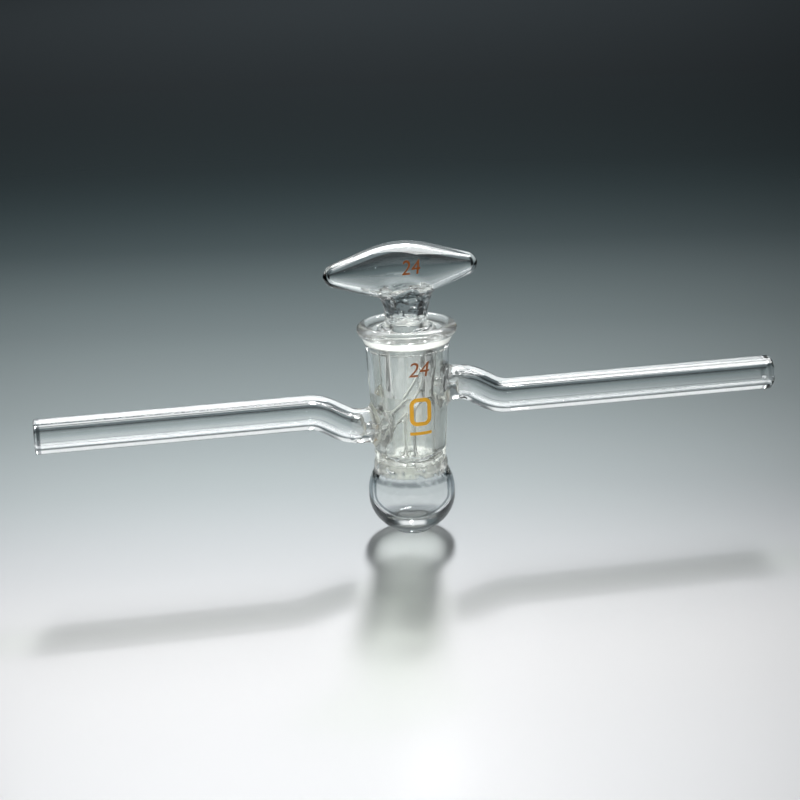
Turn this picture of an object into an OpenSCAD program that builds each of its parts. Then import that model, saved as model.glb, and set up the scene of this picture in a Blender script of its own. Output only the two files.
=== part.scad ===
// Vacuum stopcock in clear borosilicate glass: a ground barrel with two offset side arms and a
// closed vacuum bulb under it, and a hollow ground plug with an oblique bore and a blown handle.
// Origin at the centre of the foot. +X runs along the arms to the one sealed on higher up. +Z is up.

/* [Side arms] */
// Outer diameter of the arm tubing
arm_d = 8; // [7:0.5:10]
// Bore of the arm tubing
arm_bore = 4; // [2:0.5:5]
// Distance from the plug's axis to the open end of the arm sealed on higher up
high_reach = 87.4; // [50:0.2:120]
// Distance from the plug's axis to the open end of the arm sealed on lower down
low_reach = 84.6; // [50:0.2:120]
// Height of the line that both arms lie on
arm_height = 30.2; // [29:0.2:36]
// Height of each arm's seal above or below that line
seal_rise = 4.2; // [3:0.1:5]
// Angle of the offset bend
bend_angle = 30; // [20:1:40]
// Bend radius on the tube's centre line
bend_radius = 9.5; // [8:0.5:14]
// Distance from the axis to the start of the bend
bend_start = 11.2; // [11:0.1:16]
// Distance from the axis to the blind end of the arm's wide bore
bore_start = 10.8; // [9.6:0.1:10.9]
// How much the tube draws in at its bends, in diameter
bend_thin = 0.04; // [0.02:0.02:0.2]
// Radius of the melted edge at an arm's open end
end_round = 0.5; // [0.2:0.1:0.8]

/* [Ground joint] */
// Diameter of the ground cone at the arm line
cone_d = 15; // [14:0.5:18]
// Length over which the cone's diameter grows by 1 mm
cone_taper = 10; // [8:1:14]
// Radial gap between plug and barrel, filled with grease
joint_gap = 0.03; // [0.01:0.01:0.06]
// Bore through the plug and through the barrel's wall
port_d = 2; // [1:0.1:2.4]
// How far each port lies off the middle of its arm's bore, away from the arm line
port_shift = 0.6; // [0:0.1:1]

/* [Barrel] */
// Wall of the barrel
barrel_wall = 1.3; // [1:0.1:2]
// Height of the lip's highest line
lip_top = 49.5; // [48:0.5:56]
// How far the flared lip stands out from the barrel
lip_out = 1.8; // [1.4:0.1:2.6]
// Thickness of the lip's rolled bead
lip_bead_d = 2.2; // [1.8:0.1:2.6]
// Radius of the cove under the lip
lip_cove = 2.4; // [1.5:0.1:3]
// Height at which the mouth starts to flare
flare_start = 45.6; // [44:0.2:46]

/* [Vacuum bulb] */
// Widest diameter of the bulb
bulb_d = 20; // [19:0.5:23]
// Height above which the bulb draws in towards the barrel
bulb_height = 9.8; // [9.2:0.1:10.6]
// Wall of the bulb
bulb_wall = 1.3; // [1:0.1:1.8]
// Radius of the bulb's lower curve
bulb_lower = 8.6; // [8:0.1:9]
// Height of the bulb's underside above the foot
bulb_lift = 0.15; // [0.1:0.05:0.2]
// How far the ring of melted glass between barrel and bulb stands out
ring_out = 0.35; // [0.2:0.05:0.6]
// Radius of that ring's bulge
ring_curve = 2.2; // [1.8:0.1:2.6]
// Height of that ring
ring_height = 16.2; // [15.8:0.1:17]
// Thickness of the glass under the bulb
foot_glass = 1.6; // [1.2:0.1:2.4]
// Diameter of the flat foot
foot_d = 9.6; // [8:0.2:12]
// Height of the foot's straight edge
foot_h = 1; // [0.8:0.1:1.5]

/* [Plug] */
// Height of the plug's closed lower end
plug_bottom = 16; // [15.6:0.2:18]
// Height of the plug's shoulder
shoulder_top = 48.4; // [47:0.2:49]
// Rounding of the shoulder
shoulder_round = 1.2; // [0.8:0.1:1.6]
// Wall of the hollow plug
plug_wall = 1.5; // [1.2:0.1:2]
// Rounding inside the plug's two ends
plug_round = 2.2; // [1:0.1:3]
// Outer diameter of the oblique tube
tube_d = 3.2; // [2.8:0.1:4]
// Outer diameter of the branch tube to the bulb
branch_d = 2.7; // [2.3:0.1:3.4]
// Bore of the branch tube
branch_bore = 1.5; // [0.8:0.1:1.9]

/* [Neck and handle] */
// Narrowest diameter of the neck
neck_d = 9.8; // [8:0.1:11]
// Height of the narrowest line of the neck
neck_waist = 50.6; // [50.4:0.1:52]
// Radius of the neck's curve into the shoulder
neck_lower = 2.2; // [2:0.1:2.6]
// Radius of the neck's curve up into the handle
neck_upper = 9; // [8:0.5:16]
// Wall of the neck
neck_wall = 1.6; // [1.2:0.1:2.2]
// Height of the handle's axis
handle_height = 61.2; // [60:0.2:66]
// Thickest diameter of the handle
handle_d = 14; // [13:0.5:17]
// Length of the handle without its sealed tips
handle_len = 35.8; // [30:0.2:46]
// Radius of the handle's middle curve, along its length
handle_curve = 23; // [18:1:30]
// Slope of the handle's flanks
handle_slope = 17.5; // [14:0.5:20]
// Wall of the handle
handle_wall = 2; // [1.4:0.1:2.4]
// Diameter of the sealed tip at each end
tip_d = 2.4; // [1.6:0.1:3]
// Distance that each sealed tip stands out
tip_out = 0.2; // [0.1:0.05:0.6]
// Turn of the handle off the line of the bores, as set by hand
handle_turn = 6; // [0:1:12]
// Shift of the handle along its own axis, as set by hand
handle_shift = -0.9; // [-1.5:0.1:1.5]

/* [Hidden] */
$fn = 96;
// Overlap that lets two shapes of one piece fuse
fuse = 0.2;
// Depth of the handle's flanks under the curves they run into
flank_sink = 0.005;

arm_r = arm_d / 2;
port_rise = seal_rise + port_shift;
bead_r = lip_bead_d / 2;
bulb_r = bulb_d / 2;
neck_r = neck_d / 2;
foot_r = foot_d / 2;
handle_r = handle_d / 2;
handle_half = handle_len / 2;

// Radius of the plug's ground cone at height z
function cone_r(z) = cone_d / 2 + (z - arm_height) / (2 * cone_taper);
// Radius of the barrel's ground bore and of its outside at height z
function socket_r(z) = cone_r(z) + joint_gap;
function barrel_r(z) = socket_r(z) + barrel_wall;

// The cove under the lip touches both the barrel and the bead
bead_x = barrel_r(flare_start) + lip_out - bead_r;
bead_z = lip_top - bead_r;
cove_x = barrel_r(flare_start) + lip_cove;
cove_z = bead_z - sqrt(pow(lip_cove + bead_r, 2) - pow(cove_x - bead_x, 2));
touch = lip_cove / (lip_cove + bead_r);
touch_x = cove_x + (bead_x - cove_x) * touch;
touch_z = cove_z + (bead_z - cove_z) * touch;

// The barrel meets the bulb where the bulb has the barrel's radius
seam_z = bulb_height + sqrt(pow(bulb_r, 2) - pow(barrel_r(plug_bottom), 2));
low_x = bulb_r - bulb_lower;
low_z = bulb_lift + bulb_lower;
ring_x = barrel_r(ring_height) + ring_out - ring_curve;
cavity_r = bulb_r - bulb_wall;
cavity_top = bulb_height + sqrt(pow(cavity_r, 2) - pow(socket_r(plug_bottom), 2));

// Straight run between the two arcs of an arm's bend, and where the straight arm starts
bend_run = (seal_rise - 2 * bend_radius * (1 - cos(bend_angle))) / sin(bend_angle);
bend_end = bend_start + 2 * bend_radius * sin(bend_angle) + bend_run * cos(bend_angle);

// Joints between the handle's middle curve, flanks and round ends
flank_x = handle_curve * sin(handle_slope);
flank_r = handle_r - handle_curve * (1 - cos(handle_slope));
apex_x = flank_x + flank_r / tan(handle_slope);
ball_r = (apex_x - handle_half) * sin(handle_slope) / (1 - sin(handle_slope));
ball_x = handle_half - ball_r;

// The neck widens up to the handle's underside and runs straight from there into it
neck_top = handle_height - handle_r;
neck_top_r = neck_r + neck_upper - sqrt(pow(neck_upper, 2) - pow(neck_top - neck_waist, 2));

// Quarter of a disc, for a rounded corner
module quarter(r) {
    intersection() {
        circle(r);
        square(r);
    }
}

// Keeps what lies on or right of the axis in a profile
module right_half() {
    intersection() {
        children();
        translate([0, -200])
            square([200, 400]);
    }
}

// Rod of diameter d along X from x0 to x1
module rod(d, x0, x1) {
    translate([x0, 0, 0])
        rotate([0, 90, 0])
            cylinder(h = x1 - x0, d = d);
}

// One arc of the S-bend, drawn in a little, from the angle start on round its centre
module bend(d, start) {
    rotate([90, 0, 0])
        rotate_extrude(angle = bend_angle, start = start)
            translate([bend_radius, 0])
                circle(d = d - bend_thin);
}

// Rod of diameter d along one arm from x0 to x1: seal, S-bend and straight run
module arm_path(d, x0, x1) {
    translate([0, 0, seal_rise])
        rod(d, x0, bend_start + fuse);
    translate([bend_start, 0, seal_rise - bend_radius]) {
        bend(d, 90 - bend_angle);
        rotate([0, bend_angle, 0])
            translate([0, 0, bend_radius])
                rod(d, -fuse, bend_run + fuse);
    }
    translate([bend_end, 0, bend_radius])
        bend(d, 270 - bend_angle);
    rod(d, bend_end - fuse, x1);
}

// Both arms stand the same way off the axis, the lower one turned half round
module both_arms() {
    translate([0, 0, arm_height]) {
        children(0);
        rotate([0, 180, 0])
            children(1);
    }
}

// Outside of an arm, with a melted edge at its open end
module arm_outside(reach) {
    arm_path(arm_d, cone_d / 2 + joint_gap, reach - end_round);
    translate([reach - end_round - fuse, 0, 0])
        rotate([0, 90, 0])
            rotate_extrude() {
                square([arm_r - end_round, end_round + fuse]);
                square([arm_r, fuse]);
                translate([arm_r - end_round, fuse])
                    quarter(end_round);
            }
}

// Bore of an arm, and the small port that leads on from its blind end
module arm_inside(reach) {
    arm_path(arm_bore, bore_start, reach + fuse);
    translate([0, 0, port_rise])
        rod(port_d, 0, bore_start + fuse);
}

// Outline of the barrel, lip, bulb and foot, as a solid of revolution
module barrel_outline() {
    polygon([[0, seam_z - fuse], [barrel_r(seam_z - fuse), seam_z - fuse],
        [barrel_r(flare_start), flare_start], [barrel_r(flare_start), cove_z],
        [barrel_r(flare_start), bead_z], [0, bead_z]]);
    difference() {
        polygon([[barrel_r(flare_start) - fuse, cove_z], [cove_x, cove_z],
            [touch_x, touch_z], [bead_x, bead_z], [barrel_r(flare_start) - fuse, bead_z]]);
        translate([cove_x, cove_z])
            circle(lip_cove);
    }
    translate([bead_x, bead_z])
        circle(bead_r);
    right_half()
        intersection() {
            translate([0, bulb_height])
                circle(bulb_r);
            translate([0, bulb_height])
                square([bulb_r, seam_z - bulb_height]);
        }
    translate([ring_x, ring_height])
        circle(ring_curve);
    translate([0, low_z])
        square([bulb_r, bulb_height - low_z]);
    translate([low_x, low_z])
        mirror([0, 1])
            quarter(bulb_lower);
    translate([0, bulb_lift])
        square([low_x, bulb_lower]);
    square([foot_r, foot_h]);
}

// Ground bore, flared mouth and the hollow of the bulb
module barrel_hollow() {
    polygon([[0, cavity_top - fuse], [socket_r(cavity_top - fuse), cavity_top - fuse],
        [socket_r(flare_start), flare_start], [bead_x - bead_r, bead_z],
        [bead_x - bead_r, lip_top], [bead_x, lip_top], [bead_x, lip_top + fuse],
        [0, lip_top + fuse]]);
    intersection() {
        translate([0, bulb_height])
            circle(cavity_r);
        translate([0, bulb_height])
            square([cavity_r, cavity_r]);
    }
    translate([0, low_z])
        square([cavity_r, bulb_height - low_z]);
    translate([low_x, low_z])
        mirror([0, 1])
            intersection() {
                quarter(bulb_lower - bulb_wall);
                square([bulb_lower, low_z - foot_glass]);
            }
    translate([0, foot_glass])
        square([low_x, low_z - foot_glass]);
}

module barrel() {
    color([0.84, 0.9, 0.9])
        difference() {
            union() {
                rotate_extrude()
                    barrel_outline();
                both_arms() {
                    arm_outside(high_reach);
                    arm_outside(low_reach);
                }
            }
            rotate_extrude()
                difference() {
                    barrel_hollow();
                    translate([bead_x, bead_z])
                        circle(bead_r);
                }
            both_arms() {
                arm_inside(high_reach);
                arm_inside(low_reach);
            }
        }
}

// Profile of the handle about its own axis, every surface moved in by inset. The flanks lie a
// hair under the middle curve and the round ends, so that each crosses the next one cleanly.
module spindle(inset) {
    ball = ball_r - inset;
    deep = inset + flank_sink;
    flank = [flank_r - deep * cos(handle_slope), flank_x - deep * sin(handle_slope)];
    tangent = [(ball_r - deep) * cos(handle_slope), ball_x + (ball_r - deep) * sin(handle_slope)];
    polygon([[0, -tangent[1]], [tangent[0], -tangent[1]], [flank[0], -flank[1]],
        [flank[0], flank[1]], [tangent[0], tangent[1]], [0, tangent[1]]]);
    right_half() {
        translate([handle_r - handle_curve, 0])
            circle(handle_curve - inset);
        for (end = [-1, 1])
            translate([0, end * ball_x])
                circle(ball);
    }
}

// Turns a profile into a solid along the handle's axis
module along_handle() {
    rotate([0, 0, handle_turn])
        translate([handle_shift, 0, handle_height])
            rotate([0, 90, 0])
                rotate_extrude()
                    children();
}

module handle_outside() {
    along_handle()
        spindle(0);
    along_handle()
        right_half()
            for (end = [-1, 1])
                translate([0, end * (handle_half + tip_out - tip_d / 2)])
                    circle(d = tip_d);
}

// Outline of the ground cone, shoulder and neck
module plug_outline() {
    top_r = cone_r(shoulder_top - shoulder_round);
    polygon([[0, plug_bottom], [cone_r(plug_bottom), plug_bottom],
        [top_r, shoulder_top - shoulder_round], [0, shoulder_top - shoulder_round]]);
    square_r = top_r - shoulder_round;
    translate([0, shoulder_top - shoulder_round - fuse])
        square([square_r, shoulder_round + fuse]);
    translate([square_r, shoulder_top - shoulder_round])
        quarter(shoulder_round);
    difference() {
        translate([0, shoulder_top - fuse])
            square([neck_r + neck_lower, neck_waist - shoulder_top + fuse]);
        translate([neck_r + neck_lower, neck_waist])
            circle(neck_lower);
    }
    difference() {
        translate([0, neck_waist])
            square([neck_r + neck_upper, neck_top - neck_waist]);
        translate([neck_r + neck_upper, neck_waist])
            circle(neck_upper);
    }
    translate([0, neck_top - fuse])
        square([neck_top_r, handle_r / 2 + fuse]);
}

// Sealed hollow of the plug, which runs up through the neck into the handle
module plug_hollow() {
    bottom = plug_bottom + plug_wall;
    top = shoulder_top - plug_wall;
    low_r = cone_r(bottom + plug_round) - plug_wall;
    high_r = cone_r(top - plug_round) - plug_wall;
    polygon([[0, bottom + plug_round], [low_r, bottom + plug_round],
        [high_r, top - plug_round], [0, top - plug_round]]);
    translate([low_r - plug_round, bottom + plug_round])
        mirror([0, 1])
            quarter(plug_round);
    translate([0, bottom])
        square([low_r - plug_round, plug_round + fuse]);
    translate([high_r - plug_round, top - plug_round])
        quarter(plug_round);
    translate([0, top - plug_round - fuse])
        square([high_r - plug_round, plug_round + fuse]);
    translate([0, top - fuse])
        square([neck_r - neck_wall, handle_height - top + fuse]);
}

// Rod of diameter d along the oblique line between the two ports
module oblique(d) {
    inner = cone_r(arm_height) - plug_wall;
    slope = atan2(port_rise, inner);
    reach = sqrt(pow(inner, 2) + pow(port_rise, 2)) + d / 2 * tan(slope);
    translate([0, 0, arm_height])
        rotate([0, 90 - slope, 0])
            cylinder(h = 2 * reach, d = d, center = true);
}

module plug() {
    color([0.8, 0.87, 0.87])
        difference() {
            union() {
                difference() {
                    union() {
                        rotate_extrude()
                            plug_outline();
                        handle_outside();
                    }
                    rotate_extrude()
                        plug_hollow();
                    along_handle()
                        spindle(handle_wall);
                }
                intersection() {
                    oblique(tube_d);
                    cylinder(h = shoulder_top, r = cone_r(arm_height) - plug_wall / 2);
                }
                translate([0, 0, plug_bottom])
                    cylinder(h = arm_height - plug_bottom, d = branch_d);
            }
            oblique(port_d);
            for (side = [0, 180])
                translate([0, 0, arm_height])
                    rotate([0, side, 0])
                        translate([cone_r(arm_height) - plug_wall - port_d / 2, 0, port_rise])
                            rotate([0, 90, 0])
                                cylinder(h = cone_d / 2, d = port_d);
            translate([0, 0, plug_bottom - fuse])
                cylinder(h = arm_height - plug_bottom, d = branch_bore);
        }
}

barrel();
plug();
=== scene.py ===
import math

import bpy
import numpy as np
from bpy.props import FloatProperty, FloatVectorProperty, PointerProperty, StringProperty
from bpy.types import Operator, Panel, PropertyGroup
from mathutils import Matrix, Vector


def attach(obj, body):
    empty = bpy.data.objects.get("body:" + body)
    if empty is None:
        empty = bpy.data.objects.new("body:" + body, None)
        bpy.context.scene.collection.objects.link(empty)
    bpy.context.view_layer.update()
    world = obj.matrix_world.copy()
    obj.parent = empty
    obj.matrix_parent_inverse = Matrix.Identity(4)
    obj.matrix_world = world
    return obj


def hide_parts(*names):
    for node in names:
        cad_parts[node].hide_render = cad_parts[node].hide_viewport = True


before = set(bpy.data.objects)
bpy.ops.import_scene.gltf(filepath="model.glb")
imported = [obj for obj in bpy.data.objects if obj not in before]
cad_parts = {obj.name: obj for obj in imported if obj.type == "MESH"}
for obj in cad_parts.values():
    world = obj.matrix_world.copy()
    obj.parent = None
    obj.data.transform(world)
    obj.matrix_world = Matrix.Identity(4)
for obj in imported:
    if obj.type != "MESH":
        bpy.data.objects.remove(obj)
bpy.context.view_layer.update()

bl_info = {
    "name": "Glass stopcock",
    "version": (1, 0, 0),
    "blender": (4, 5, 0),
    "location": "3D View > Sidebar > Stopcock",
    "description": "Glass of a hollow-plug vacuum stopcock, its fired-on marks and its stage",
    "category": "Object",
}

UP = Vector((0.0, 0.0, 1.0))
# Half the stretch a field's slope is measured over, and the least length that is divided by
TINY = 1e-6
# Grading of the floor's colour, pale in front and near black behind: metres behind the axis, and colour
FLOOR_GRADE = (
    (-0.12, (0.785, 0.79, 0.805)),
    (-0.065, (0.745, 0.74, 0.745)),
    (-0.022, (0.585, 0.60, 0.62)),
    (0.03, (0.41, 0.455, 0.465)),
    (0.10, (0.23, 0.265, 0.27)),
    (0.195, (0.128, 0.155, 0.160)),
    (0.33, (0.024, 0.036, 0.039)),
    (0.53, (0.0075, 0.0105, 0.0115)),
    (0.87, (0.007, 0.0085, 0.0095)),
)
# The lamps: name, place, width and height in metres, and watts
LAMPS = (
    ("softbox", (0.13, 0.18, 0.55), (0.76, 0.38), 10.5),
    ("fill", (-0.35, -1.00, 0.16), (0.40, 0.10), 5.5),
    ("strip_core", (0.494, 1.938, 1.38), (0.18, 0.06), 44.0),
    ("strip_middle", (0.494, 1.938, 1.41), (0.18, 0.32), 44.0),
    ("strip_wide", (0.494, 1.938, 1.50), (0.18, 0.90), 38.0),
)


def length(name, description, default):
    """A size in metres, shown with the scene's length unit."""
    return FloatProperty(
        name=name, description=description, default=default, min=0.0,
        unit="LENGTH", subtype="DISTANCE", precision=5,
    )


def place(name, description, default):
    """A place along one axis, in metres."""
    return FloatProperty(name=name, description=description, default=default, unit="LENGTH", precision=5)


def angle(name, description, degrees):
    """An angle, given in degrees."""
    return FloatProperty(
        name=name, description=description, default=math.radians(degrees), unit="ROTATION", subtype="ANGLE"
    )


def amount(name, description, default):
    """A plain number that says how much."""
    return FloatProperty(name=name, description=description, default=default, min=0.0, precision=3)


def colour(name, description, default):
    """A colour in linear light."""
    return FloatVectorProperty(
        name=name, description=description, default=default, size=3, min=0.0, max=1.0, subtype="COLOR"
    )


class StopcockJointSizes(PropertyGroup):
    """The ground joint that barrel and plug share"""

    cone_d: length("Cone diameter", "Diameter of the ground cone at the arm line", 0.015)
    taper: amount("Taper", "Growth of the cone's radius per unit of height", 0.05)
    gap: length("Joint gap", "Radial gap that the grease fills", 0.00003)
    port_d: length("Port", "Bore through the plug and the barrel's wall", 0.002)
    arm_height: length("Arm line", "Height of the line both arms lie on", 0.0302)
    seal_rise: length("Seal rise", "Height of each arm's seal off that line", 0.0042)
    port_rise: length("Port rise", "Height of each port off that line", 0.0048)
    plug_bottom: length("Plug bottom", "Height of the plug's closed lower end", 0.016)
    ground_top: length("Ground top", "Upper end of the ground and greased band", 0.0452)
    ground_low: length("Ground low", "Lower end of the ground and greased band", 0.0166)


class StopcockBarrelSizes(PropertyGroup):
    """Barrel, lip, arms and vacuum bulb"""

    wall: length("Wall", "Wall of the barrel", 0.0013)
    lip_top: length("Lip top", "Height of the lip's highest line", 0.0495)
    lip_d: length("Lip", "Diameter of the flared lip", 0.02278)
    bead_d: length("Lip bead", "Thickness of the rolled bead", 0.0028)
    cove: length("Lip cove", "Radius of the cove under the lip", 0.0040)
    flare: length("Flare start", "Height at which the mouth starts to flare", 0.0456)
    bulb_d: length("Bulb", "Widest diameter of the vacuum bulb", 0.020)
    bulb_height: length("Bulb shoulder", "Height above which the bulb draws in", 0.0098)
    bulb_lower: length("Bulb underside", "Radius of the bulb's lower curve", 0.0086)
    bulb_lift: length("Bulb lift", "Height of the bulb's underside above the foot", 0.00015)
    bulb_wall: length("Bulb wall", "Wall of the bulb at its shoulder", 0.0009)
    bulb_under: length("Bulb underside wall", "Glass added to the wall towards the foot", 0.0024)
    ring_out: length("Seam ring", "How far the melted ring over the bulb stands out", 0.00035)
    ring_curve: length("Seam ring curve", "Radius of that ring's bulge", 0.0022)
    ring_height: length("Seam ring height", "Height of that ring", 0.0162)
    foot_glass: length("Foot glass", "Thickness of the glass under the bulb", 0.0026)
    foot_d: length("Foot", "Diameter of the flat foot", 0.0082)
    foot_h: length("Foot edge", "Height of the foot's edge", 0.001)
    arm_d: length("Arm tube", "Outer diameter of the side arms", 0.008)
    arm_bore: length("Arm bore", "Bore of the side arms", 0.004)
    high_reach: length("High arm reach", "From the axis to the end of the higher arm", 0.0874)
    low_reach: length("Low arm reach", "From the axis to the end of the lower arm", 0.0846)
    bend_angle: angle("Bend", "Angle of the offset bend", 30.0)
    bend_radius: length("Bend radius", "Radius of the bend on the tube's centre line", 0.0095)
    bend_start: length("Bend start", "From the axis to the start of the bend", 0.0112)
    bore_start: length("Bore start", "From the axis to the blind end of the wide bore", 0.0108)
    seal_blend: length("Seal fillet", "Blend of the melted seal between arm and barrel", 0.0018)


class StopcockPlugSizes(PropertyGroup):
    """Hollow plug, inner tubes, neck and handle"""

    shoulder: length("Shoulder", "Height of the plug's shoulder", 0.0484)
    shoulder_round: length("Shoulder rounding", "Rounding of the shoulder", 0.0014)
    wall: length("Plug wall", "Wall of the hollow plug", 0.0015)
    inner_round: length("Inner rounding", "Rounding inside the plug's two ends", 0.0026)
    tube_d: length("Oblique tube", "Outer diameter of the oblique tube", 0.0032)
    tube_flare: length("Tube flare", "Blend of the inner tubes into the plug's wall", 0.0030)
    branch_d: length("Branch tube", "Outer diameter of the branch tube", 0.0027)
    branch_bore: length("Branch bore", "Bore of the branch tube", 0.0015)
    neck_d: length("Neck", "Narrowest diameter of the neck", 0.0098)
    neck_waist: length("Neck waist", "Height of the neck's narrowest line", 0.0506)
    neck_curve: length("Neck curve", "Radius of the neck's curve up into the handle", 0.013)
    neck_wall: length("Neck wall", "Wall of the neck", 0.0016)
    handle_height: length("Handle height", "Height of the handle's axis", 0.0617)
    handle_d: length("Handle", "Thickest diameter of the handle", 0.013)
    handle_len: length("Handle length", "Length of the handle without its tips", 0.0358)
    handle_curve: length("Handle curve", "Radius of the handle's middle curve", 0.023)
    handle_slope: angle("Handle slope", "Slope of the handle's flanks", 17.5)
    handle_wall: length("Handle wall", "Wall of the handle", 0.0013)
    tip_d: length("Tip", "Diameter of the sealed tips", 0.0024)
    tip_out: length("Tip height", "How far each sealed tip stands out", 0.0002)
    handle_turn: angle("Handle turn", "Turn of the handle off the line of the bores", 6.0)
    handle_shift: place("Handle shift", "Shift of the handle along its axis", -0.0009)


class StopcockLook(PropertyGroup):
    """Colours of the glass, grease, marks and stage"""

    glass: colour("Glass", "Tint of the clear glass", (0.985, 0.993, 0.990))
    # Colour of the painted shade on the glass, along its dark outlines and lines and in its dark foot
    edge: colour("Edge", "Tint of thick glass and of the lines its walls show", (0.07, 0.10, 0.12))
    grease: colour("Grease", "Tint of the ground and greased band", (0.962, 0.966, 0.956))
    number: colour("Number enamel", "Colour of the fired-on numbers", (0.29, 0.075, 0.006))
    spot: colour("Spot enamel", "Colour of the amber spot and bar", (0.80, 0.40, 0.008))
    # Painted shade: the floor's colour falling off to its sides, for the lamps' falloff
    painted_side_falloff: amount("Side fade", "How much the floor darkens at its sides", 0.12)


class StopcockShading(PropertyGroup):
    """How strongly the glass shows its walls, seals and ground band, its painted shade and painted
    highlights, and how it shades the floor
    """

    # The next six are painted shade: dark lines and a dark foot where the glass would show dark surroundings
    painted_seam_line: amount("Seam line", "Dark line under the seam", 0.55)
    painted_foot_shade: amount("Sole", "Darkness of the thick glass in the foot", 0.80)
    painted_bore_line: amount("Bore line", "Dark lines of the arms' bores", 0.55)
    outline: amount("Outline", "Dark outline of the arms and the lip", 0.6)
    end_line: amount("End line", "Dark lines at the cut ends of the arms", 0.55)
    painted_neck_line: amount("Neck line", "Dark sides of the neck", 0.5)
    unevenness: amount("Unevenness", "Unevenness of melted glass", 0.9)
    uneven_depth: length("Unevenness depth", "Depth of that unevenness", 0.00042)
    neck_unevenness: amount("Neck unevenness", "Unevenness of the neck against the seals'", 1.8)
    haze: amount("Haze", "Haze of the streaks in the ground band", 0.16)
    least_haze: amount("Least haze", "Haze between the streaks", 0.05)
    milk: amount("Milk", "How much of the rings' milk is lit from the front", 0.2)
    cuff: amount("Cuff", "Milkiness of the ring under the lip", 0.36)
    # The hem is a painted highlight of the thick seam, and the funnel a painted reflection of the softbox
    hem: amount("Hem", "Milkiness of the ring at the seam", 0.80)
    funnel: amount("Funnel", "Milkiness of the mouth's funnel", 0.07)
    # Painted highlight along the inner tubes' edges
    tube_edge: amount("Tube edge", "White along the inner tubes' edges", 0.9)
    seal_white: amount("Seal white", "White in the arms' seals", 0.08)
    ground_shade: amount("Ground shade", "Shade of the ground band", 0.22)
    arm_shade: amount("Arm shade", "Shade of the arms", 0.13)
    bulb_shade: amount("Bulb shade", "Shade of the bulb", 0.05)
    arm_rim: amount("Arm rim shade", "Shade of the arms' edges", 0.75)
    bulb_rim: amount("Bulb rim shade", "Shade of the bulb's edges", 1.15)
    rim: amount("Rim shade", "Shade of all edges", 0.20)
    rim_power: amount("Rim power", "How narrow the shaded edges are", 2.4)
    high_fade: amount("High fade", "Share of its shade that the highest glass loses", 0.85)
    lit: amount("Lit", "Light that passes the clearest glass", 0.99)


class StopcockStage(PropertyGroup):
    """Where the camera stands and what it aims at"""

    azimuth: angle("Azimuth", "Turn of the camera to the left of the front", 10.67)
    elevation: angle("Elevation", "Height of the camera as an angle", 16.512)
    roll: angle("Roll", "Tilt of the camera about its line of sight", 2.016)
    distance: length("Distance", "From the camera to what it aims at", 0.42)
    lens: FloatProperty(name="Lens", description="Focal length", default=82.64, unit="CAMERA")
    aim_x: place("Aim X", "Place along the arms that the camera aims at", -0.002088)
    aim_z: place("Aim Z", "Height that the camera aims at", 0.031284)


class StopcockMarks(PropertyGroup):
    """Fired-on marks"""

    text: StringProperty(name="Pair number", description="Number that barrel and plug share", default="24")
    slant: angle("Slant", "Slant of the digits", 10.0)
    thickness: length("Enamel", "Thickness of the enamel", 0.00004)
    sunk: length("Sunk", "How deep the enamel is fired in", 0.00001)
    barrel_number_x: place("Barrel number X", "Middle of the barrel's number", 0.0008)
    barrel_number_z: length("Barrel number Z", "Height of the barrel's number", 0.0405)
    barrel_number_size: length("Barrel number size", "Type size of the barrel's number", 0.0048)
    handle_number_x: place("Handle number X", "Middle of the handle's number", 0.0003)
    handle_number_z: length("Handle number Z", "Height of the handle's number", 0.0632)
    handle_number_size: length("Handle number size", "Type size of the handle's number", 0.0044)
    frame_x: place("Label X", "Middle of the label frame and the bar", 0.0009)
    frame_z: length("Label Z", "Height of the label frame's middle", 0.0307)
    frame_w: length("Label width", "Width of the label frame", 0.0050)
    frame_h: length("Label height", "Height of the label frame", 0.0066)
    frame_line: length("Label line", "Width of the frame's line", 0.0009)
    bar_z: length("Bar Z", "Height of the bar under the label", 0.0256)
    bar_w: length("Bar width", "Width of the bar", 0.0050)
    bar_h: length("Bar height", "Height of the bar", 0.0007)


# ---------------------------------------------------------------- shapes as distance fields

# Melted fillets, in metres
BEAD_MELT = 0.0003
RING_MELT = 0.0005
BULB_MELT = 0.0005
FOOT_MELT = 0.0007
PORT_MELT = 0.0005
MOUTH_MELT = 0.0020
CAVITY_MELT = 0.0018
BORE_MELT = 0.0002
NECK_MELT = 0.0024
TIP_MELT = 0.0002
HANDLE_MELT = 0.0012
THROAT_MELT = 0.0016
HANDLE_ROOM_MELT = 0.0008
BRANCH_MELT = 0.0014
DRAIN_MELT = 0.0003
# Rounded edges and corners, in metres
FOOT_EDGE = 0.0004
SOLE_EDGE = 0.0001
BORE_END_ROUND = 0.0012
CAVITY_CORNER = 0.001
BARREL_CUT_EDGE = 0.0003
ARM_END_EDGE = 0.0008
PLUG_BOTTOM_EDGE = 0.0006
PLUG_CUT_EDGE = 0.0002
# How far the neck and its throat reach down into the plug, and how far under the handle's axis the neck ends
NECK_ROOT = 0.001
THROAT_ROOT = 0.004
NECK_TOP = 0.003
# Stands for a distance beyond the whole object, in metres
FAR = 1.0


def fuse(a, b, k):
    """Melts two shapes into one, with a fillet of about k where they meet."""
    h = np.maximum(k - np.abs(a - b), 0.0) / k
    return np.minimum(a, b) - h * h * k / 4


def common(a, b, k):
    """What two shapes share, with its edges melted round."""
    return -fuse(-a, -b, k)


def cut(a, b, k):
    """The first shape without the second, with its edges melted round."""
    return -fuse(-a, b, k)


def cone_radius(j, z):
    """Radius of the ground cone at a height."""
    return j.cone_d / 2 + (z - j.arm_height) * j.taper


def cone_slant(j):
    """What turns a distance across the cone's axis into one square to its surface."""
    return math.cos(math.atan(j.taper))


def bend_line(u, w, bend, big):
    """Distance from an arc of radius big about the origin that starts straight up and turns towards u."""
    turn = np.arctan2(u, w)
    return np.where((turn > 0) & (turn < bend), np.abs(np.hypot(u, w) - big), FAR)


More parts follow.
